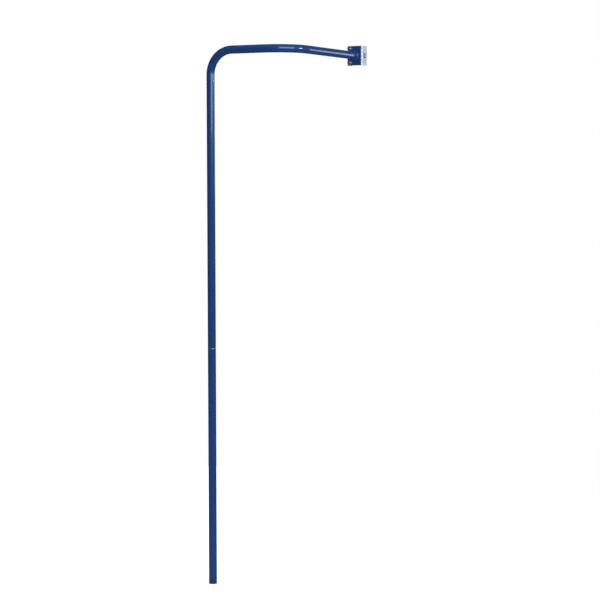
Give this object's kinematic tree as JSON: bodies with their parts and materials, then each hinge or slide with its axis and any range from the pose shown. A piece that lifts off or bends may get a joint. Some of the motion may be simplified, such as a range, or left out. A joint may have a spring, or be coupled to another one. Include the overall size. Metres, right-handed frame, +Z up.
{
  "type": "bent tubular post",
  "caption": "Tall blue tubular post, bent at the top into a side arm and again into a back arm that ends in a plate and a zinc saddle bracket for a square timber upright.",
  "frame": {"origin": "centre of the foot plug's bottom face, on the ground", "axes": "+Z up along the post, +X along the side arm, +Y along the back arm towards the timber"},
  "size_m": [0.495, 0.731, 2.5695],
  "materials": {
    "blue_paint": "glossy powder coat",
    "weld_paint": "glossy powder coat over a rippled weld",
    "plug_plastic": "moulded",
    "sleeve_steel": "drawn, zinc plated",
    "galvanised": "hot-dip galvanised, fine spangle",
    "fastener_zinc": "zinc plated, darkened"
  },
  "bodies": {
    "lower": {"lower_tube": "blue_paint", "foot_plug": "plug_plastic"},
    "sleeve": {"joint_sleeve": "sleeve_steel"},
    "upper": {"upper_tube": "blue_paint", "head_plate": "blue_paint", "plate_weld": "weld_paint", "saddle": "galvanised", "plate_screws": "fastener_zinc", "plate_washers": "fastener_zinc", "plate_nuts": "fastener_zinc", "cross_bolt": "fastener_zinc", "cross_washers": "fastener_zinc", "cross_nut": "fastener_zinc"}
  },
  "joints": [
    {"name": "sleeve_swivel", "type": "hinge", "parent": "lower", "child": "sleeve", "pos_m": [0, 0, 1.128], "axis": [0, 0, 1], "continuous": true},
    {"name": "upper_pull_off", "type": "slide", "parent": "sleeve", "child": "upper", "axis": [0, 0, 1], "range_m": [0, 0.12]}
  ]
}
